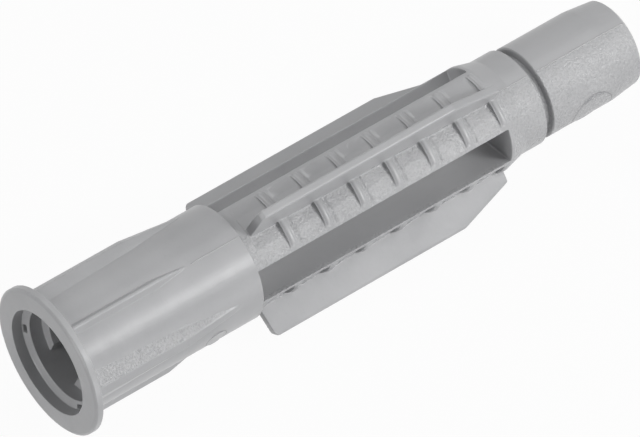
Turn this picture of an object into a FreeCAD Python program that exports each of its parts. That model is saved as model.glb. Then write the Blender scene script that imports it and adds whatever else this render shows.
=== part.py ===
import FreeCAD, Part
import Sketcher
import math
import os

# A universal wall plug: one moulding of grey nylon.
#
# It is drawn standing on its own axis, local Z, from the front face of the collar (0) to the nose.
# Three legs stand a third of a turn apart.  The first leg and its fin point along local +X, and
# the two halves of the mould meet in the plane y = 0.  A placement at the end lays the plug down
# along the world's X axis, first fin up, as it comes to rest on the table.

os.makedirs("parts", exist_ok=True)
doc = FreeCAD.newDocument("wall_plug")

# Sizes, in mm and degrees.
SIZES = [
    ("plug_length", 58.9, "front of the collar to the end of the nose"),
    ("part_count", 3, "legs, slots, fins and ribs round the plug"),
    # collar and mouth
    ("collar_r", 6.72, "outside of the collar"),
    ("collar_thick", 0.78, "thickness of the collar"),
    ("collar_round", 0.3, "rounding of the collar's front edge"),
    ("mouth_r", 4.8, "mouth, front edge"),
    ("mouth_depth", 1.0, "front face to the first ledge"),
    ("throat_r", 4.15, "bore behind the first ledge"),
    ("ledge_drop", 0.3, "slope of the first ledge"),
    ("throat_end", 2.55, "front face to the inner ends of the legs"),
    ("key_width", 0.9, "notches in the first ledge, one in line with each leg"),
    ("key_inner_r", 4.45, "inner end of a notch"),
    ("key_wall", 0.06, "left between a notch and the mouth's wall"),
    ("key_depth", 0.7, "depth of a notch from the mouth's inner end"),
    # sleeve
    ("sleeve_r", 5.23, "sleeve between its ribs"),
    ("sleeve_end", 18.2, "front face to the end of the sleeve"),
    ("wing_r", 5.9, "crest of a broad rib"),
    ("wing_land", 4.0, "half angle of its flat crest"),
    ("wing_angle", 21.0, "half angle of its foot at the collar"),
    ("wing_bend_angle", 13.5, "half angle of its foot where it starts to run out"),
    ("wing_tip_angle", 3.5, "half angle of its foot at its end"),
    ("wing_full", 10.1, "broad rib keeps its height up to here"),
    ("wing_end", 16.3, "broad rib has run out here"),
    ("dart_r", 5.8, "crest of a narrow rib"),
    ("dart_land", 0.12, "half width of its flat crest"),
    ("dart_half", 0.5, "half width of its foot"),
    ("dart_full", 9.6, "narrow rib keeps its height up to here"),
    ("dart_end", 12.9, "narrow rib has run out here"),
    ("sink", 0.02, "depth of the ribs' feet below the sleeve's face"),
    # legs
    ("leg_r", 4.78, "crest of the teeth"),
    ("slot_width", 3.42, "slot between two legs"),
    ("slot_end", 44.3, "front face to the closed end of the slots"),
    ("funnel_r", 3.2, "screw funnel in the sleeve, at the inner ends of the legs"),
    ("bore_r", 1.9, "screw channel from the end of the sleeve through the nose"),
    # teeth
    ("tooth_first", 21.9, "steep face of the first tooth"),
    ("tooth_pitch", 3.65, "from tooth to tooth"),
    ("tooth_count", 7, "teeth on either side of a fin"),
    ("tooth_land", 0.72, "flat crest of a tooth"),
    ("tooth_depth", 0.34, "depth at the fin"),
    ("tooth_side_depth", 0.26, "depth half way to the slot"),
    ("tooth_side_angle", 20.0, "angle of that place from the fin"),
    ("tooth_angle", 36.5, "the teeth run out at this angle from the fin"),
    # fins
    ("fin_r", 7.68, "outer edge of a fin"),
    ("fin_thick", 0.76, "thickness of a fin"),
    ("fin_start", 19.0, "front end at the root"),
    ("fin_lean", 0.6, "the front end slopes back by this towards the crest"),
    ("fin_corner", 0.3, "bevel of the front end's outer corner"),
    ("fin_full", 39.4, "fin keeps its height up to here"),
    ("fin_end", 44.6, "square back end"),
    ("fin_low_r", 5.98, "outer edge at the back end"),
    ("fin_root", 0.5, "depth of a fin's foot below the teeth's crest"),
    # shoulder, groove and nose
    ("shoulder_r", 4.38, "shoulder behind the legs"),
    ("land_end", 44.6, "the last crest slopes down from here"),
    ("shoulder_start", 46.2, "to here"),
    ("groove_start", 48.4, "front side of the groove"),
    ("groove_end", 49.15, "back side of the groove"),
    ("groove_r", 3.5, "bottom of the groove"),
    ("nose_r", 4.2, "nose behind the groove"),
    ("nose_bend", 56.0, "the nose tapers from here"),
    ("nose_end_r", 3.87, "nose at its end"),
    ("nose_round", 0.3, "bevel of the nose's end"),
    # flat marks of the mould's push-out pins
    ("pin_sleeve_r", 1.0, "mark on the sleeve, radius"),
    ("pin_sleeve_at", 13.5, "mark on the sleeve, centre"),
    ("pin_nose_r", 2.05, "mark on the nose, radius"),
    ("pin_nose_at", 53.45, "mark on the nose, centre"),
    ("pin_nose_low", 0.29, "its face lies this far under the nose's crest, so only its sides show"),
    ("edge_break", 0.12, "small bevel of the plain outer edges"),
    ("fin_round", 0.18, "rounding of the fins' outer edges"),
]

sheet = doc.addObject("Spreadsheet::Sheet", "Sizes")
for row, (name, number, note) in enumerate(SIZES, start=1):
    sheet.set("A%d" % row, name)
    sheet.set("B%d" % row, str(number))
    sheet.setAlias("B%d" % row, name)
    sheet.set("C%d" % row, note)
doc.recompute()


class Size:
    """A number together with the sheet formula it comes from."""

    def __init__(self, number, text):
        self.number = float(number)
        self.text = text

    @staticmethod
    def of(thing):
        if isinstance(thing, Size):
            return thing
        return Size(thing, "(%s)" % thing)

    def __add__(self, other):
        other = Size.of(other)
        return Size(self.number + other.number, "(%s + %s)" % (self.text, other.text))

    def __sub__(self, other):
        other = Size.of(other)
        return Size(self.number - other.number, "(%s - %s)" % (self.text, other.text))

    def __mul__(self, other):
        other = Size.of(other)
        return Size(self.number * other.number, "(%s * %s)" % (self.text, other.text))

    def __neg__(self):
        return Size(-self.number, "(-%s)" % self.text)


def sine(angle):
    return Size(math.sin(math.radians(angle.number)), "sin(%s * 1 deg)" % angle.text)


def cosine(angle):
    return Size(math.cos(math.radians(angle.number)), "cos(%s * 1 deg)" % angle.text)


def half(size):
    return size * 0.5


ZERO = Size(0, "0")
S = {name: Size(number, "Sizes.%s" % name) for name, number, note in SIZES}

body = doc.addObject("PartDesign::Body", "wall_plug")


def origin(role):
    """The body's own origin plane or axis with this role."""
    for feature in body.Origin.OriginFeatures:
        if feature.Role == role:
            return feature
    raise ValueError(role)


def new_sketch(name, role, height=ZERO):
    sketch = body.newObject("Sketcher::SketchObject", name)
    sketch.AttachmentSupport = [(origin(role), "")]
    sketch.MapMode = "FlatFace"
    sketch.setExpression("AttachmentOffset.Base.z", height.text)
    return sketch


def bind_point(sketch, line, corner, point):
    """Hold one end of a line at (x, y) from the sheet."""
    x, y = point
    axes = (("DistanceX", x, -2), ("DistanceY", y, -1))
    for kind, size, axis in axes:
        if abs(size.number) < 1e-9:
            sketch.addConstraint(Sketcher.Constraint("PointOnObject", line, corner, axis))
            continue
        index = sketch.addConstraint(Sketcher.Constraint(kind, -1, 1, line, corner, size.number))
        sketch.setExpression("Constraints[%d]" % index, size.text)


def polygon(name, role, points, height=ZERO):
    """A closed outline whose every corner is held by the sheet."""
    sketch = new_sketch(name, role, height)
    corners = [FreeCAD.Vector(x.number, y.number, 0) for x, y in points]
    count = len(corners)
    for i in range(count):
        sketch.addGeometry(Part.LineSegment(corners[i], corners[(i + 1) % count]), False)
    for i in range(count):
        sketch.addConstraint(Sketcher.Constraint("Coincident", i, 2, (i + 1) % count, 1))
        bind_point(sketch, i, 1, points[i])
    return sketch


def circle(name, role, centre, radius, height=ZERO):
    sketch = new_sketch(name, role, height)
    middle = FreeCAD.Vector(centre[0].number, centre[1].number, 0)
    sketch.addGeometry(Part.Circle(middle, FreeCAD.Vector(0, 0, 1), radius.number), False)
    bind_point(sketch, 0, 3, centre)
    index = sketch.addConstraint(Sketcher.Constraint("Radius", 0, radius.number))
    sketch.setExpression("Constraints[%d]" % index, radius.text)
    return sketch


def extrude(kind, name, sketch, length, reverse=False, both=False):
    feature = body.newObject("PartDesign::" + kind, name)
    feature.Profile = sketch
    feature.setExpression("Length", length.text)
    feature.Midplane = both
    feature.Reversed = reverse
    doc.recompute()
    return feature


def loft(kind, name, sketches):
    feature = body.newObject("PartDesign::" + kind, name)
    feature.Profile = sketches[0]
    feature.Sections = sketches[1:]
    feature.Ruled = True
    doc.recompute()
    return feature


def round_the_axis(name, feature):
    """Repeat a feature evenly round the plug's axis."""
    pattern = body.newObject("PartDesign::PolarPattern", name)
    pattern.Originals = [feature]
    pattern.Axis = (origin("Z_Axis"), [""])
    pattern.Angle = 360
    pattern.setExpression("Occurrences", S["part_count"].text)
    body.Tip = pattern
    doc.recompute()
    return pattern


def soften(kind, name, size, wanted):
    """Round (Fillet) or bevel (Chamfer) the edges of the body for which wanted(edge) is true."""
    shape = body.Tip.Shape
    edges = ["Edge%d" % (i + 1) for i, edge in enumerate(shape.Edges) if wanted(edge)]
    before = body.Tip
    feature = body.newObject("PartDesign::" + kind, name)
    feature.Base = (before, edges)
    feature.setExpression("Radius" if kind == "Fillet" else "Size", size.text)
    doc.recompute()
    return feature


def ring_edge(edge, radius, height):
    """True for a full circle of this radius at this height."""
    if not isinstance(edge.Curve, Part.Circle):
        return False
    same_radius = abs(edge.Curve.Radius - radius.number) < 1e-4
    same_height = abs(edge.Curve.Center.z - height.number) < 1e-4
    return same_radius and same_height


def turned_body():
    """Collar, sleeve, legs' outline, shoulder, groove and nose, with the bore, turned in one go."""
    outline = [
        (S["mouth_r"], ZERO),
        (S["collar_r"], ZERO),
        (S["collar_r"], S["collar_thick"]),
        (S["sleeve_r"], S["collar_thick"]),
        (S["sleeve_r"], S["sleeve_end"]),
        (S["leg_r"], S["sleeve_end"]),
        (S["leg_r"], S["land_end"]),
        (S["shoulder_r"], S["shoulder_start"]),
        (S["shoulder_r"], S["groove_start"]),
        (S["groove_r"], S["groove_start"]),
        (S["groove_r"], S["groove_end"]),
        (S["nose_r"], S["groove_end"]),
        (S["nose_r"], S["nose_bend"]),
        (S["nose_end_r"], S["plug_length"]),
        (S["bore_r"], S["plug_length"]),
        (S["bore_r"], S["sleeve_end"]),
        (S["funnel_r"], S["throat_end"]),
        (S["throat_r"], S["throat_end"]),
        (S["throat_r"], S["mouth_depth"] + S["ledge_drop"]),
        (S["mouth_r"], S["mouth_depth"]),
    ]
    profile = polygon("turned_outline", "XZ_Plane", outline)
    turned = body.newObject("PartDesign::Revolution", "turned_body")
    turned.Profile = profile
    turned.ReferenceAxis = (profile, ["V_Axis"])
    turned.Angle = 360
    doc.recompute()


def soft_rings():
    """Round the turned edges that a finger meets and break the others."""
    soften("Fillet", "collar_front", S["collar_round"],
           lambda e: ring_edge(e, S["collar_r"], ZERO))
    soften("Chamfer", "nose_front", S["nose_round"],
           lambda e: ring_edge(e, S["nose_end_r"], S["plug_length"]))

    def plain_edge(edge):
        places = [
            (S["collar_r"], S["collar_thick"]),
            (S["sleeve_r"], S["sleeve_end"]),
            (S["shoulder_r"], S["groove_start"]),
            (S["nose_r"], S["groove_end"]),
        ]
        return any(ring_edge(edge, radius, height) for radius, height in places)

    soften("Chamfer", "plain_edges", S["edge_break"], plain_edge)


def tooth_section(name, height, depth, side_depth):
    """What is cut away beside a tooth, seen along the plug, for one side of the first leg."""
    rim = S["leg_r"] + S["sink"]
    out_y = rim * sine(S["tooth_angle"])
    side = S["leg_r"] - side_depth
    clear = S["leg_r"] + S["tooth_depth"]
    points = [
        (S["leg_r"] - depth, ZERO),
        (side * cosine(S["tooth_side_angle"]), side * sine(S["tooth_side_angle"])),
        (rim * cosine(S["tooth_angle"]), out_y),
        (clear, out_y),
        (clear, ZERO),
    ]
    return polygon(name, "XY_Plane", points, height)


def teeth():
    """Saw teeth: a ramp goes down towards each steep face, on both sides of every fin."""
    start = S["tooth_first"] - S["tooth_pitch"] + S["tooth_land"]
    shallow = tooth_section("ramp_start", start, S["sink"], S["sink"])
    deep = tooth_section("ramp_foot", S["tooth_first"], S["tooth_depth"], S["tooth_side_depth"])
    ramp = loft("SubtractiveLoft", "tooth_ramp", [shallow, deep])

    row = doc.addObject("PartDesign::LinearPattern", "tooth_row")
    row.Direction = (origin("Z_Axis"), [""])
    row.setExpression("Length", ((S["tooth_count"] - 1) * S["tooth_pitch"]).text)
    row.setExpression("Occurrences", S["tooth_count"].text)
    sides = doc.addObject("PartDesign::Mirrored", "tooth_sides")
    sides.MirrorPlane = (origin("XZ_Plane"), [""])
    legs = doc.addObject("PartDesign::PolarPattern", "tooth_legs")
    legs.Axis = (origin("Z_Axis"), [""])
    legs.Angle = 360
    legs.setExpression("Occurrences", S["part_count"].text)
    pattern = body.newObject("PartDesign::MultiTransform", "teeth")
    pattern.Originals = [ramp]
    for step in (row, sides, legs):
        body.addObject(step)
    pattern.Transformations = [row, sides, legs]
    body.Tip = pattern
    doc.recompute()


def rib_section(name, height, side, crest, foot):
    """Crest and foot are corners; side is -1 for a rib over a slot and 1 for one over a leg."""
    points = [
        (crest[0] * side, -crest[1]),
        (crest[0] * side, crest[1]),
        (foot[0] * side, foot[1]),
        (foot[0] * side, -foot[1]),
    ]
    return polygon(name, "XY_Plane", points, height)


def sleeve_ribs():
    """Broad ribs over the slots and narrow ones over the legs, running out along the sleeve."""
    foot = S["sleeve_r"] - S["sink"]
    low = foot - S["sink"]
    under = S["collar_thick"] - S["edge_break"]

    def corner(radius, angle):
        return radius * cosine(angle), radius * sine(angle)

    def wing(name, height, crest, land, reach, angle):
        return rib_section(name, height, -1, corner(crest, land), corner(reach, angle))

    wings = loft("AdditiveLoft", "wing", [
        wing("wing_start", under, S["wing_r"], S["wing_land"], foot, S["wing_angle"]),
        wing("wing_bend", S["wing_full"], S["wing_r"], S["wing_land"], foot, S["wing_bend_angle"]),
        wing("wing_point", S["wing_end"], foot, half(S["wing_land"]), low, S["wing_tip_angle"]),
    ])
    round_the_axis("wings", wings)

    deep = S["sleeve_r"] - S["edge_break"]
    narrow = S["dart_land"] * 0.5
    darts = loft("AdditiveLoft", "dart", [
        rib_section("dart_start", under, 1, (S["dart_r"], S["dart_land"]), (deep, S["dart_half"])),
        rib_section("dart_bend", S["dart_full"], 1, (S["dart_r"], S["dart_land"]), (deep, S["dart_half"])),
        rib_section("dart_point", S["dart_end"], 1, (foot, narrow), (deep, S["dart_land"])),
    ])
    round_the_axis("darts", darts)


def channel_sketch():
    """A straight-sided channel from the axis to the throat's wall, ending in the wall's arc."""
    reach = S["throat_r"].number
    wide = half(S["slot_width"]).number
    back = -math.sqrt(reach * reach - wide * wide)
    corner = math.degrees(math.asin(wide / reach))
    sketch = new_sketch("channel_outline", "XY_Plane", S["throat_end"])
    ring = Part.Circle(FreeCAD.Vector(0, 0, 0), FreeCAD.Vector(0, 0, 1), reach)
    first, last = math.radians(180 - corner), math.radians(180 + corner)
    sketch.addGeometry(Part.ArcOfCircle(ring, first, last), False)
    corners = [(back, -wide), (0, -wide), (0, wide), (back, wide)]
    for a, b in zip(corners[:-1], corners[1:]):
        sketch.addGeometry(Part.LineSegment(FreeCAD.Vector(*a, 0), FreeCAD.Vector(*b, 0)), False)
    join = Sketcher.Constraint
    sketch.addConstraint(join("Coincident", 0, 3, -1, 1))
    sketch.addConstraint(join("Coincident", 0, 2, 1, 1))
    sketch.addConstraint(join("Coincident", 1, 2, 2, 1))
    sketch.addConstraint(join("Coincident", 2, 2, 3, 1))
    sketch.addConstraint(join("Coincident", 3, 2, 0, 1))
    sketch.addConstraint(join("Horizontal", 1))
    sketch.addConstraint(join("Vertical", 2))
    sketch.addConstraint(join("Horizontal", 3))
    sketch.addConstraint(join("Symmetric", 2, 1, 2, 2, -1, 1))
    index = sketch.addConstraint(join("DistanceY", 2, 1, 2, 2, 2 * wide))
    sketch.setExpression("Constraints[%d]" % index, S["slot_width"].text)
    index = sketch.addConstraint(join("Radius", 0, reach))
    sketch.setExpression("Constraints[%d]" % index, S["throat_r"].text)
    return sketch


def slots():
    """Channels inside the sleeve that break out as open slots between the legs."""
    channel = extrude("Pocket", "channel", channel_sketch(), S["slot_end"] - S["throat_end"], True)
    round_the_axis("channels", channel)
    wide = half(S["slot_width"])
    reach = S["leg_r"] + 1
    outline = [(ZERO, -wide), (ZERO, wide), (-reach, wide), (-reach, -wide)]
    sketch = polygon("slot_outline", "XY_Plane", outline, S["sleeve_end"])
    slot = extrude("Pocket", "slot", sketch, S["slot_end"] - S["sleeve_end"], True)
    round_the_axis("slots", slot)


def keys():
    """Small notches in the first ledge, beside the mouth's wall and in line with the legs."""
    wide = half(S["key_width"])
    inner = S["key_inner_r"]
    outer = S["mouth_r"] - S["key_wall"]
    outline = [(inner, -wide), (outer, -wide), (outer, wide), (inner, wide)]
    sketch = polygon("key_outline", "XY_Plane", outline, S["mouth_depth"])
    key = extrude("Pocket", "key", sketch, S["key_depth"], True)
    round_the_axis("keys", key)


def fins():
    """A fin on the back of every leg, sloping in front, lower towards the nose."""
    root = S["leg_r"] - S["tooth_depth"] - S["fin_root"]
    front = S["fin_start"] + S["fin_lean"]
    outline = [
        (root, S["fin_start"]),
        (S["fin_r"] - S["fin_corner"], front),
        (S["fin_r"], front + S["fin_corner"]),
        (S["fin_r"], S["fin_full"]),
        (S["fin_low_r"], S["fin_end"]),
        (root, S["fin_end"]),
    ]
    sketch = polygon("fin_outline", "XZ_Plane", outline)
    fin = extrude("Pad", "fin", sketch, S["fin_thick"], both=True)

    def fin_edge(edge):
        beside = all(abs(abs(v.Y) - half(S["fin_thick"]).number) < 1e-4 for v in edge.Vertexes)
        high = all(v.X > S["leg_r"].number + 0.5 for v in edge.Vertexes)
        return beside and high and len(edge.Vertexes) == 2

    body.Tip = fin
    soft = soften("Fillet", "fin_edges", S["fin_round"], fin_edge)
    pattern = body.newObject("PartDesign::PolarPattern", "fins")
    pattern.Originals = [fin, soft]
    pattern.Axis = (origin("Z_Axis"), [""])
    pattern.Angle = 360
    pattern.setExpression("Occurrences", S["part_count"].text)
    body.Tip = pattern
    doc.recompute()


def pin_mark(name, radius, along, face):
    """A round flat mark where a push-out pin pressed on one half of the moulding."""
    depth = half(radius)
    sketch = circle(name + "_outline", "XZ_Plane", (ZERO, along), radius, depth - face)
    extrude("Pad", name, sketch, depth, True)


turned_body()
soft_rings()
teeth()
sleeve_ribs()
slots()
keys()
fins()
pin_mark("sleeve_mark", S["pin_sleeve_r"], S["pin_sleeve_at"], S["sleeve_r"])
pin_mark("nose_mark", S["pin_nose_r"], S["pin_nose_at"], S["nose_r"] - S["pin_nose_low"])

# Lay the plug down: its axis along the world's X, the first fin up.
turn = FreeCAD.Rotation(FreeCAD.Vector(1, 0, 1), 180)
body.Placement = FreeCAD.Placement(FreeCAD.Vector(0, 0, 0), turn)
doc.recompute()

for thing in doc.Objects:
    if "Invalid" in thing.State or "Error" in thing.State:
        raise RuntimeError("%s did not build: %s" % (thing.Name, thing.State))
if body.Shape.isNull() or not body.Shape.isValid():
    raise RuntimeError("the plug is not a valid solid")
if len(body.Shape.Solids) != 1:
    raise RuntimeError("the plug must be one solid, not %d" % len(body.Shape.Solids))
box = body.Shape.BoundBox
print("solid of %.1f mm3, box %.2f x %.2f x %.2f" % (body.Shape.Volume, box.XLength, box.YLength, box.ZLength))
body.Shape.exportStep("parts/wall_plug.step")
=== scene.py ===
# %% [markdown]
# A wall plug, dressed for its picture
#
# The plug is one small moulding of grey nylon, 59 mm long.  Its construction is already there as
# an exact solid.  This lesson adds what the mould leaves on the real thing: edges that are a
# little soft, low beads on the teeth, a fine line where the two halves of the mould met, and one
# half of the surface left rough by spark erosion.  All lengths below are in millimetres until a
# mesh is finished, because a plug is too small to think about in metres.

import math

import bmesh
import bpy
import numpy as np
from mathutils import Matrix, Vector


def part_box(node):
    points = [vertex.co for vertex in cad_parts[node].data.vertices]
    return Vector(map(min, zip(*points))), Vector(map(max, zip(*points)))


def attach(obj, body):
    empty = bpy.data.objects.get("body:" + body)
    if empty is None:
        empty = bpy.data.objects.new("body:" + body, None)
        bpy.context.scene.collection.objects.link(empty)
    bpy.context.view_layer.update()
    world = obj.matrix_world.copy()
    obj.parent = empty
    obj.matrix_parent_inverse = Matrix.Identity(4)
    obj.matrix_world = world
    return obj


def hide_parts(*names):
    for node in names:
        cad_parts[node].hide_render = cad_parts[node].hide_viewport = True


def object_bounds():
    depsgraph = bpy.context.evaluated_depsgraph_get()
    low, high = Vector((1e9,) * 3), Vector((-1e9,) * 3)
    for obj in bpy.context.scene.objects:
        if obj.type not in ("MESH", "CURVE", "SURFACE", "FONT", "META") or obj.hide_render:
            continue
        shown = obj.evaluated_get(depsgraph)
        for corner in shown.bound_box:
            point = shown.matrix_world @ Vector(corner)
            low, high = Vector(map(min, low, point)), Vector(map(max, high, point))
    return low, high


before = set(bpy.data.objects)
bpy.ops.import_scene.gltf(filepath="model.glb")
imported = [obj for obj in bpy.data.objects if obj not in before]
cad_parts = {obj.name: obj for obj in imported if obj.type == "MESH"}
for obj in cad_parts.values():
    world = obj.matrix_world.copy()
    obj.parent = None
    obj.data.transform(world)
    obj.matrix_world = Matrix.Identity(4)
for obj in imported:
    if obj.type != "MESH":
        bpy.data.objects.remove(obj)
cad_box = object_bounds()
MM = 0.001
low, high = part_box("wall_plug")
print("plug box in mm:", [round(v / MM, 2) for v in (*low, *high)])

# %% [markdown]
# The camera comes first, so that every later step is seen from the right place.
#
# The photograph was taken with a long lens, from the mouth's side and from above.  The two
# directions below are the camera's own right and forward, measured on the plug: X runs along its
# axis, Z points along the upper fin.  The camera's up follows from them.

# %% Camera
CAMERA_PLACE = Vector((-299.0, -171.9, 699.3))
CAMERA_RIGHT = Vector((0.7919, -0.5652, 0.2313))
CAMERA_FORWARD = Vector((0.4129, 0.2165, -0.8847))
LENS = 541.2
SENSOR = 36.0

forward = CAMERA_FORWARD.normalized()
right = (CAMERA_RIGHT - forward * CAMERA_RIGHT.dot(forward)).normalized()
up = right.cross(forward)
camera_data = bpy.data.cameras.new("camera")
camera_data.sensor_width = SENSOR
camera_data.lens = LENS
camera = bpy.data.objects.new("camera", camera_data)
turn = Matrix((right, up, -forward)).transposed().to_4x4()
camera.matrix_world = Matrix.Translation(CAMERA_PLACE * MM) @ turn
bpy.context.scene.collection.objects.link(camera)
bpy.context.scene.camera = camera
print("camera is", round(CAMERA_PLACE.length), "mm from the mouth")

# %% [markdown]
# Shader maths reads best as plain sums.
#
# A small class wraps one socket and lets Python's own operators add the Math nodes, so that
# "1 - mask" is an expression and not four lines of wiring.  Every other node comes from one
# method, `add`, which sets the node's settings first and its sockets afterwards.

# %% Shader helpers
class Graph:
    """A node tree with short ways to add to it."""

    def __init__(self, tree):
        self.tree = tree

    def put(self, socket, value):
        """Link a value that varies, or set one that doesn't."""
        if isinstance(value, Wire):
            self.tree.links.new(value.socket, socket)
        elif isinstance(value, bpy.types.NodeSocket):
            self.tree.links.new(value, socket)
        else:
            socket.default_value = value

    def add(self, kind, settings=None, **sockets):
        """A node of this type.

        A socket's name is written with _ for a space, and slot0 is the first one.
        """
        node = self.tree.nodes.new(kind)
        for name, value in (settings or {}).items():
            setattr(node, name, value)
        for name, value in sockets.items():
            if name.startswith("slot"):
                self.put(node.inputs[int(name[4:])], value)
            else:
                self.put(node.inputs[name.replace("_", " ")], value)
        return node

    def wire(self, node, output=0):
        """One of the node's outputs, ready for sums."""
        return Wire(self, node.outputs[output])


class Wire:
    """One number that varies over the surface."""

    def __init__(self, graph, socket):
        self.graph = graph
        self.socket = socket

    def maths(self, operation, first, second=0.0):
        node = self.graph.add("ShaderNodeMath", {"operation": operation},
                              slot0=first, slot1=second)
        return self.graph.wire(node)

    def __add__(self, other):
        return self.maths("ADD", self, other)

    def __radd__(self, other):
        return self.maths("ADD", other, self)

    def __sub__(self, other):
        return self.maths("SUBTRACT", self, other)

    def __rsub__(self, other):
        return self.maths("SUBTRACT", other, self)

    def __mul__(self, other):
        return self.maths("MULTIPLY", self, other)

    def __rmul__(self, other):
        return self.maths("MULTIPLY", other, self)

    def __truediv__(self, other):
        return self.maths("DIVIDE", self, other)

    def __neg__(self):
        return self.maths("MULTIPLY", self, -1.0)

    def power(self, exponent):
        return self.maths("POWER", self, exponent)

    def rise(self, start, end):
        """0 before start, 1 after end, straight in between; start may be the larger one."""
        node = self.graph.add("ShaderNodeMapRange", {"clamp": True}, Value=self,
                              From_Min=start, From_Max=end, To_Min=0.0, To_Max=1.0)
        return self.graph.wire(node)

    def window(self, start, end, edge):
        """1 between start and end, with edges that soften over this much on either side."""
        return self.rise(start - edge, start + edge) * self.rise(end + edge, end - edge)

    def fraction(self):
        return self.maths("FRACT", self)

    def arctan(self, other):
        return self.maths("ARCTAN2", self, other)


def new_material(name):
    material = bpy.data.materials.new(name)
    material.use_nodes = True
    material.node_tree.nodes.clear()
    return material, Graph(material.node_tree)


print("shader helpers are ready")

# %% [markdown]
# The plug's measures serve four times: for the teeth, the turned walls, the parting line and the
# rough surface.
#
# Each row of the two lists is a stretch of turned wall, outside or inside: where it starts and
# ends along the plug, and its radius at both ends.  Angles are degrees round the axis, and the
# middle of a slot lies 60 of them from a fin.

# %% Measures of the moulding
LEG_R = 4.78
SLEEVE_R = 5.23
SLEEVE_END = 18.2
LEG_END = 44.6
SHOULDER_AT, SHOULDER_R = 46.2, 4.38
GROOVE_FROM, GROOVE_TO, GROOVE_R = 48.4, 49.15, 3.5
NOSE_R, NOSE_BEND, NOSE_END_R = 4.2, 56.0, 3.87
PLUG_LENGTH = 58.9
COLLAR_R, COLLAR_THICK = 6.72, 0.78
MOUTH_R, THROAT_R, FUNNEL_R, BORE_R = 4.8, 4.15, 3.2, 1.9
MOUTH_END, THROAT_FROM, THROAT_END, SLOT_END = 1.0, 1.3, 2.55, 44.3
WING_HALF_ANGLE, WING_LAND, WING_END = 21.0, 4.0, 16.3
SLOT_ANGLE = 60.0
TEETH = 7
TOOTH_FIRST, TOOTH_PITCH, TOOTH_LAND, TOOTH_DEPTH = 21.9, 3.65, 0.72, 0.34

OUTSIDE = [
    (0.0, COLLAR_THICK, COLLAR_R, COLLAR_R),
    (COLLAR_THICK, SLEEVE_END, SLEEVE_R, SLEEVE_R),
    (SLEEVE_END, LEG_END, LEG_R, LEG_R),
    (LEG_END, SHOULDER_AT, LEG_R, SHOULDER_R),
    (SHOULDER_AT, GROOVE_FROM, SHOULDER_R, SHOULDER_R),
    (GROOVE_FROM, GROOVE_TO, GROOVE_R, GROOVE_R),
    (GROOVE_TO, NOSE_BEND, NOSE_R, NOSE_R),
    (NOSE_BEND, PLUG_LENGTH, NOSE_R, NOSE_END_R),
]
INSIDE = [
    (0.0, MOUTH_END, MOUTH_R, MOUTH_R),
    (THROAT_FROM, SLEEVE_END, THROAT_R, THROAT_R),
    (THROAT_END, SLEEVE_END, FUNNEL_R, BORE_R),
    (SLOT_END, PLUG_LENGTH, BORE_R, BORE_R),
]


def outer_radius(along):
    """Radius of the turned outside at this place along the plug."""
    for start, end, first, last in OUTSIDE:
        if start <= along <= end:
            return first + (last - first) * (along - start) / (end - start)
    raise ValueError(along)


print(len(OUTSIDE), "stretches of wall outside,", len(INSIDE), "inside")

# %% [markdown]
# The moulding: a copy of the solid whose edges are gently rounded.
#
# Real moulded edges have a radius of about a tenth of a millimetre, and they catch the light.
# Bevelling a solid full of cut teeth leaves tangles, so the copy is remeshed on a fine grid
# instead, smoothed a little, and thinned to a sensible number of triangles.  While the grid is
# still fine, the flat crest of every tooth swells into a low bead with a dip behind it.  The
# turned walls are trued up last: a point that is almost on its wall is moved onto it, so the
# highlights run clean.

# %% Moulding
MERGE = 0.0005
VOXEL = 0.06
SMOOTH_FACTOR, SMOOTH_STEPS = 0.5, 4
TRIANGLES = 185000
SNAP_NEAR, SNAP_FAR = 0.035, 0.065
CROWN_ANGLE, CROWN_FADE = 37.0, 5.0
CROWN_HEIGHT = 0.10
DIP_DEPTH, DIP_WIDE = 0.07, 0.45
CROWN_REACH = 0.2


def apply_modifiers(piece):
    """Turn the piece and its modifiers into a plain mesh."""
    bpy.context.view_layer.update()
    view = piece.evaluated_get(bpy.context.evaluated_depsgraph_get())
    mesh = bpy.data.meshes.new_from_object(view)
    piece.modifiers.clear()
    piece.data = mesh


def read_points(mesh):
    """The mesh's points as rows of three numbers."""
    points = np.zeros(len(mesh.vertices) * 3, np.float32)
    mesh.vertices.foreach_get("co", points)
    return points.reshape(-1, 3).astype(float)


def write_points(mesh, points):
    mesh.vertices.foreach_set("co", points.astype(np.float32).ravel())
    mesh.update()


def crown_teeth(mesh):
    """Round the land of every tooth upwards, with a shallow dip behind it."""
    points = read_points(mesh)
    along = points[:, 0]
    radius = np.hypot(points[:, 1], points[:, 2])
    place = np.mod(along - TOOTH_FIRST, TOOTH_PITCH)
    behind = place - TOOTH_LAND
    skin = LEG_R - TOOTH_DEPTH * np.clip(behind / (TOOTH_PITCH - TOOTH_LAND), 0, 1)
    crown = CROWN_HEIGHT * np.sin(math.pi * np.clip(place / TOOTH_LAND, 0, 1))
    dip = DIP_DEPTH * np.sin(math.pi * np.clip(behind / DIP_WIDE, 0, 1))
    share = np.clip(2 - np.abs(radius - skin) / CROWN_REACH, 0, 1)
    last = TOOTH_FIRST + (TEETH - 1) * TOOTH_PITCH + TOOTH_LAND
    share[(along < TOOTH_FIRST) | (along > last)] = 0
    angle = np.degrees(np.arctan2(points[:, 1], points[:, 2]))
    from_fin = np.abs(np.mod(angle + SLOT_ANGLE, 2 * SLOT_ANGLE) - SLOT_ANGLE)
    share *= np.clip((CROWN_ANGLE - from_fin) / CROWN_FADE, 0, 1)
    factor = 1 + share * (crown - dip) / np.maximum(radius, BORE_R)
    points[:, 1] *= factor
    points[:, 2] *= factor
    write_points(mesh, points)
    print(int((share > 0.5).sum()), "points on", TEETH, "crowned teeth")


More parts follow.
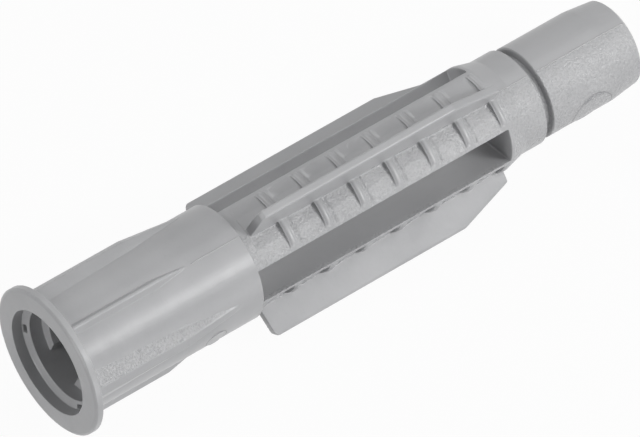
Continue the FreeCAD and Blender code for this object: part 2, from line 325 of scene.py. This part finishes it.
def soft_copy(node, name):
    """The node's mesh in millimetres, remeshed, smoothed and thinned."""
    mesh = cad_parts[node].data.copy()
    mesh.transform(Matrix.Scale(1 / MM, 4))
    shell = bmesh.new()
    shell.from_mesh(mesh)
    bmesh.ops.remove_doubles(shell, verts=shell.verts, dist=MERGE)
    shell.to_mesh(mesh)
    shell.free()
    mesh.materials.clear()
    piece = bpy.data.objects.new(name, mesh)
    bpy.context.scene.collection.objects.link(piece)
    grid = piece.modifiers.new("grid", "REMESH")
    grid.mode = "VOXEL"
    grid.voxel_size = VOXEL * 1
    soft = piece.modifiers.new("soft", "SMOOTH")
    soft.factor = SMOOTH_FACTOR
    soft.iterations = SMOOTH_STEPS
    apply_modifiers(piece)
    crown_teeth(piece.data)
    count = 2 * len(piece.data.polygons)
    print("remeshed to", count, "triangles")
    thin = piece.modifiers.new("thin", "DECIMATE")
    thin.ratio = min(1.0, TRIANGLES / count)
    apply_modifiers(piece)
    return piece


def true_up(mesh):
    """Move points that are almost on a turned wall onto it."""
    points = read_points(mesh)
    along = points[:, 0]
    radius = np.hypot(points[:, 1], points[:, 2])
    target = radius.copy()
    closest = np.full(len(points), SNAP_FAR)
    for start, end, first, last in OUTSIDE + INSIDE:
        wall = first + (last - first) * (along - start) / (end - start)
        gap = np.abs(radius - wall)
        here = (along >= start) & (along <= end) & (gap < closest)
        target[here] = wall[here]
        closest[here] = gap[here]
    share = np.clip((SNAP_FAR - closest) / (SNAP_FAR - SNAP_NEAR), 0, 1)
    factor = 1 + share * (target / radius - 1)
    points[:, 1] *= factor
    points[:, 2] *= factor
    write_points(mesh, points)
    print(int((share > 0.5).sum()), "of", len(points), "points trued up")


moulding = soft_copy("wall_plug", "plug_moulding")
true_up(moulding.data)
moulding.data.transform(Matrix.Scale(MM, 4))
print("moulding has", len(moulding.data.polygons), "faces")

# %% [markdown]
# The parting line: a hair of flash where the two halves of the mould met.
#
# It runs along the plug on two opposite sides, wherever no fin or rib hides it.  Geometry Nodes
# follow the plug's outline with a thin bead that is mostly sunk in the wall, and turn a copy of
# it half way round.  The outline goes in as a bare line of points, so the tree works for any
# plug with a mould like this.

# %% Parting line
BEAD_R = 0.08
BEAD_SINK = 0.03
BEAD_CORNERS = 8
BEAD_START = 13.2
BEAD_GAP, NOSE_GAP = 0.15, 0.4
BEAD_RUNS = [
    (BEAD_START, SLEEVE_END - BEAD_GAP),
    (LEG_END, SHOULDER_AT, GROOVE_FROM - BEAD_GAP),
    (GROOVE_TO + BEAD_GAP, NOSE_BEND, PLUG_LENGTH - NOSE_GAP),
]


def geometry_input(tree, name, kind, value, smallest, largest):
    """Give the tree a number that can be set on the modifier."""
    socket = tree.interface.new_socket(name, in_out="INPUT", socket_type=kind)
    socket.default_value = value
    socket.min_value = smallest
    socket.max_value = largest


def bead_tree(material):
    """Lines in, a round bead along them on two opposite sides of the X axis out."""
    tree = bpy.data.node_groups.new("parting_bead", "GeometryNodeTree")
    tree.interface.new_socket("Outline", in_out="INPUT", socket_type="NodeSocketGeometry")
    geometry_input(tree, "Bead radius", "NodeSocketFloat", 0.00001, 0.0, 0.01)
    geometry_input(tree, "Corners", "NodeSocketInt", 6, 3, 32)
    geometry_input(tree, "Sides", "NodeSocketInt", 1, 1, 12)
    tree.interface.new_socket("Bead", in_out="OUTPUT", socket_type="NodeSocketGeometry")
    graph = Graph(tree)
    given = graph.add("NodeGroupInput")
    path = graph.add("GeometryNodeMeshToCurve", slot0=given.outputs["Outline"])
    ring = graph.add("GeometryNodeCurvePrimitiveCircle", Resolution=given.outputs["Corners"],
                     Radius=given.outputs["Bead radius"])
    bead = graph.add("GeometryNodeCurveToMesh", Curve=path.outputs[0],
                     Profile_Curve=ring.outputs["Curve"], Fill_Caps=True)
    sides = graph.add("GeometryNodeMeshLine", {"mode": "OFFSET"}, Count=given.outputs["Sides"],
                      Offset=(0.0, 0.0, 0.0))
    number = graph.wire(graph.add("GeometryNodeInputIndex"))
    share = graph.wire(graph.add("ShaderNodeMath", {"operation": "DIVIDE"}, slot0=number,
                                 slot1=given.outputs["Sides"]))
    angle = graph.add("ShaderNodeCombineXYZ", X=share * (2 * math.pi))
    copies = graph.add("GeometryNodeInstanceOnPoints", Points=sides.outputs[0],
                       Instance=bead.outputs[0], Rotation=angle.outputs[0])
    real = graph.add("GeometryNodeRealizeInstances", slot0=copies.outputs[0])
    finish = graph.add("GeometryNodeSetMaterial", Geometry=real.outputs[0], Material=material)
    out = graph.add("NodeGroupOutput")
    graph.put(out.inputs[0], finish.outputs[0])
    return tree


def set_inputs(modifier, **values):
    """Set the tree's named inputs by the identifiers of their sockets."""
    for item in modifier.node_group.interface.items_tree:
        key = item.name.replace(" ", "_").lower()
        if item.in_out == "INPUT" and key in values:
            modifier[item.identifier] = values[key]


def make_parting_line(material):
    """The bead along every run, on both sides of the plug."""
    mesh = bpy.data.meshes.new("parting_line")
    points, edges = [], []
    for run in BEAD_RUNS:
        first = len(points)
        for along in run:
            points.append((along * MM, 0.0, (outer_radius(along) - BEAD_SINK) * MM))
        edges += [(i, i + 1) for i in range(first, len(points) - 1)]
    mesh.from_pydata(points, edges, [])
    piece = bpy.data.objects.new("parting_line", mesh)
    bpy.context.scene.collection.objects.link(piece)
    bead = piece.modifiers.new("bead", "NODES")
    bead.node_group = bead_tree(material)
    set_inputs(bead, bead_radius=BEAD_R * MM, corners=BEAD_CORNERS, sides=2)
    apply_modifiers(piece)
    print("parting line has", len(piece.data.polygons), "faces")
    return piece


# %% [markdown]
# The nylon: one grey, two surfaces.
#
# The half of the mould on the -Y side was spark-eroded, so the legs, the shoulder, the nose and
# the upper face of the broad rib on that side are covered with fine grains that glitter where
# the light grazes them.  The other half was polished and is only a little uneven.  The rough
# area is a mask made of the place along the plug, the distance from its axis and the angle round
# it.
#
# One grain feeds both the Bump node and the colour: in the rough area its pits are painted
# darker, a painted shade, and its peaks lighter, a painted highlight.  The two push-out pins of
# the mould left a fine dark ring each, which is drawn by the distance from its middle.

# %% Nylon
GREY = (0.465, 0.467, 0.475, 1.0)
GREY_DEEP = (0.330, 0.332, 0.342, 1.0)
GREY_SHARE = 0.4
GRAIN_PER_MM = 5.0
GRAIN_HEIGHT = 0.040
# The second number sets how strongly the grain is painted: darker in its pits, a painted shade,
# and lighter on its peaks, a painted highlight.
GRAIN_MIDDLE, GRAIN_SHADE = 0.36, 0.7
PEEL_PER_MM = 0.9
PEEL_HEIGHT = 0.02
PEEL_GLOSS = 0.08
FLOW_PER_MM, FLOW_COLOUR = 0.12, 0.35
SPECKS_PER_MM, SPECKS_COLOUR = 3.1, 0.1
PIN_MARKS = [(13.5, 1.0), (53.45, 2.05)]
PIN_RING_WIDE, PIN_RING_EDGE, PIN_RING_DEEP = 0.1, 0.03, 0.05
PIN_SIDE = (-1.0, -1.5)
SMOOTH_GLOSS, ROUGH_GLOSS = 0.32, 0.28
NYLON_IOR = 1.5
LAND_GRAIN = 0.3
MASK_EDGE, ANGLE_EDGE, PARTING_EDGE = 0.1, 0.6, 0.03
BELOW_RAMPS, ABOVE_LEG, ABOVE_SLEEVE = (0.12, 0.04), (0.10, 0.03), 0.03


def rough_area(along, radius, angle, side):
    """1 where the spark-eroded half of the mould shaped the surface."""
    tooth = ((along - TOOTH_FIRST) / TOOTH_PITCH).fraction() * TOOTH_PITCH
    foot = LEG_R - TOOTH_DEPTH
    outside = radius.rise(foot - BELOW_RAMPS[0], foot - BELOW_RAMPS[1])
    skin = outside * radius.rise(LEG_R + ABOVE_LEG[0], LEG_R + ABOVE_LEG[1])
    ramps = tooth.rise(TOOTH_LAND, TOOTH_LAND + MASK_EDGE)
    before = along.rise(TOOTH_FIRST, TOOTH_FIRST - MASK_EDGE)
    plain = LAND_GRAIN + (1 - LAND_GRAIN) * ramps + before
    legs = along.window(SLEEVE_END, LEG_END, MASK_EDGE / 2) * skin * plain
    nose = along.rise(LEG_END - MASK_EDGE, LEG_END + MASK_EDGE)
    facet = angle.window(SLOT_ANGLE - WING_HALF_ANGLE, SLOT_ANGLE - WING_LAND, ANGLE_EDGE)
    wing = facet * along.window(COLLAR_THICK, WING_END, MASK_EDGE)
    wing = wing * radius.rise(SLEEVE_R, SLEEVE_R + ABOVE_SLEEVE)
    walls = legs + nose + wing
    return walls.rise(0.0, 1.0) * side.rise(PARTING_EDGE, -PARTING_EDGE)


def pin_rings(along, tall, side):
    """1 on the fine rings that the push-out pins pressed into the rough side."""
    rings = 0.0
    for place, radius in PIN_MARKS:
        offset = along - place
        distance = (offset * offset + tall * tall).power(0.5)
        inner, outer = radius - PIN_RING_WIDE / 2, radius + PIN_RING_WIDE / 2
        rings = distance.window(inner, outer, PIN_RING_EDGE) + rings
    return rings * side.rise(*PIN_SIDE)


def make_nylon():
    """Grey nylon, grained where the mould was rough."""
    material, g = new_material("grey_nylon")
    place = g.add("ShaderNodeTexCoord").outputs["Object"]
    scaled = g.add("ShaderNodeVectorMath", {"operation": "SCALE"}, slot0=place, Scale=1 / MM)
    mm = scaled.outputs[0]
    axes = g.add("ShaderNodeSeparateXYZ", slot0=mm)
    along, side, tall = (g.wire(axes, i) for i in range(3))
    radius = (side * side + tall * tall).power(0.5)
    angle = (-side).arctan(tall) * (180 / math.pi)
    rough = rough_area(along, radius, angle, side)

    def noise(scale, detail, roughness):
        node = g.add("ShaderNodeTexNoise", {"noise_dimensions": "3D"}, Vector=mm, Scale=scale,
                     Detail=detail, Roughness=roughness)
        return g.wire(node)

    grain = noise(GRAIN_PER_MM, 2.0, 0.6).rise(0.3, 0.75)
    peel = noise(PEEL_PER_MM, 2.0, 0.5)
    flow = noise(FLOW_PER_MM, 3.0, 0.55).rise(0.35, 0.7)
    specks = noise(SPECKS_PER_MM, 1.0, 0.5).rise(0.62, 0.78)

    rings = pin_rings(along, tall, side)
    # Painted shade and highlight: in the rough area the grain's pits are painted darker and its
    # peaks lighter, in place of the grain's own shading and glitter; the pin rings are added
    # here too.
    pit_shade_and_rings = GREY_SHARE + rough * (GRAIN_MIDDLE - grain) * GRAIN_SHADE + rings
    deep = flow * FLOW_COLOUR + specks * SPECKS_COLOUR + pit_shade_and_rings
    colour = g.add("ShaderNodeMix", {"data_type": "RGBA"}, slot0=deep,
                   slot6=GREY, slot7=GREY_DEEP)
    height = peel * (PEEL_HEIGHT * MM) + rough * (grain - 0.5) * (GRAIN_HEIGHT * MM)
    height = height - rings * (PIN_RING_DEEP * MM)
    bump = g.add("ShaderNodeBump", Strength=1.0, Distance=1.0, Height=height)
    gloss = SMOOTH_GLOSS + rough * (ROUGH_GLOSS - SMOOTH_GLOSS) + (peel - 0.5) * PEEL_GLOSS
    shader = g.add("ShaderNodeBsdfPrincipled", Base_Color=colour.outputs[2], Roughness=gloss,
                   Normal=bump.outputs[0], IOR=NYLON_IOR)
    g.add("ShaderNodeOutputMaterial", Surface=shader.outputs[0])
    return material


nylon = make_nylon()
moulding.data.materials.append(nylon)
parting_line = make_parting_line(nylon)
for piece in (moulding, parting_line):
    piece.data.polygons.foreach_set("use_smooth", [True] * len(piece.data.polygons))
    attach(piece, "root")
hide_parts("wall_plug")
print("nylon has", len(nylon.node_tree.nodes), "nodes")

# %% [markdown]
# The floor is pale and plain, and the picture's background is white.
#
# Light Path makes the floor and the world white to the camera and in the plug's gloss, while the
# light they scatter onto it stays faint.  A small share of the floor's own shading stays in, and
# that share carries the plug's soft shadow.

# %% Floor and world
FLOOR_HALF = 1500.0
SHADOW_SHARE = 0.04
WORLD_LIGHT = 0.07
PAPER = (0.50, 0.50, 0.50, 1.0)
WHITE = (1.0, 1.0, 1.0, 1.0)


def seen_directly(g):
    """1 for rays of the camera and for mirrored or refracted ones."""
    rays = g.add("ShaderNodeLightPath")
    names = ("Is Camera Ray", "Is Glossy Ray", "Is Transmission Ray")
    camera_ray, glossy, through = (Wire(g, rays.outputs[name]) for name in names)
    return (camera_ray + glossy + through).rise(0.0, 1.0)


def make_floor():
    """A square of paper right under the plug."""
    material, g = new_material("pale_floor")
    paper = g.add("ShaderNodeBsdfDiffuse", Color=PAPER)
    white = g.add("ShaderNodeEmission", Color=WHITE, Strength=1.0)
    mix = g.add("ShaderNodeMixShader", slot0=seen_directly(g) * (1 - SHADOW_SHARE),
                slot1=paper.outputs[0], slot2=white.outputs[0])
    g.add("ShaderNodeOutputMaterial", Surface=mix.outputs[0])
    mesh = bpy.data.meshes.new("floor")
    reach = FLOOR_HALF * MM
    level = cad_box[0][2]
    corners = [(-reach, -reach), (reach, -reach), (reach, reach), (-reach, reach)]
    mesh.from_pydata([(x, y, level) for x, y in corners], [], [(0, 1, 2, 3)])
    mesh.materials.append(material)
    floor = bpy.data.objects.new("floor", mesh)
    bpy.context.scene.collection.objects.link(floor)


def make_world():
    """White to the camera and in the gloss, and otherwise a faint light."""
    world = bpy.data.worlds.new("studio")
    world.use_nodes = True
    world.node_tree.nodes.clear()
    g = Graph(world.node_tree)
    sky = g.add("ShaderNodeBackground", Color=WHITE, Strength=WORLD_LIGHT)
    white = g.add("ShaderNodeBackground", Color=WHITE, Strength=1.0)
    mix = g.add("ShaderNodeMixShader", slot0=seen_directly(g),
                slot1=sky.outputs[0], slot2=white.outputs[0])
    g.add("ShaderNodeOutputWorld", Surface=mix.outputs[0])
    bpy.context.scene.world = world


make_floor()
make_world()
bpy.context.scene.view_settings.view_transform = "Standard"
print("floor at", round(cad_box[0][2] / MM, 2), "mm")

# %% [markdown]
# Six lamps.
#
# The key lamp stands above and past the nose, where its mirror image draws one long highlight
# down the plug.  A wide one overhead fills the rest, and one on either side models the round
# walls.  The last two stand before the mouth, for the collar's face and the ledge behind it.

# %% Lamps
MIDDLE = Vector((30.0, 0.0, 0.0))


def lamp(name, direction, distance, size, level):
    """A square lamp this far from the plug's middle; level 1 shows a wall in its own colour."""
    data = bpy.data.lights.new(name, "AREA")
    data.size = size * MM
    data.energy = level * (math.pi * distance * MM) ** 2
    light = bpy.data.objects.new(name, data)
    away = Vector(direction).normalized()
    light.matrix_world = (Matrix.Translation((MIDDLE + away * distance) * MM)
                          @ away.to_track_quat("Z", "Y").to_matrix().to_4x4())
    bpy.context.scene.collection.objects.link(light)


lamp("key", (0.50, -0.47, 0.73), 500.0, 130.0, 0.46)
lamp("sky", (0.35, 0.12, 0.93), 500.0, 450.0, 0.34)
lamp("left", (0.05, 0.85, 0.52), 600.0, 250.0, 0.23)
lamp("right", (0.05, -0.99, 0.14), 500.0, 250.0, 0.50)
lamp("front", (-0.80, 0.25, 0.55), 600.0, 300.0, 0.20)
lamp("mouth", (-1.0, -0.06, 0.0), 800.0, 60.0, 0.36)
print("six lamps")

# %% [markdown]
# Last, both boxes are kept for comparison: the solid's and that of the dressed plug.

# %% Finish
def plain(box):
    """The box's two corners as plain numbers."""
    return [[round(float(v), 7) for v in corner] for corner in box]
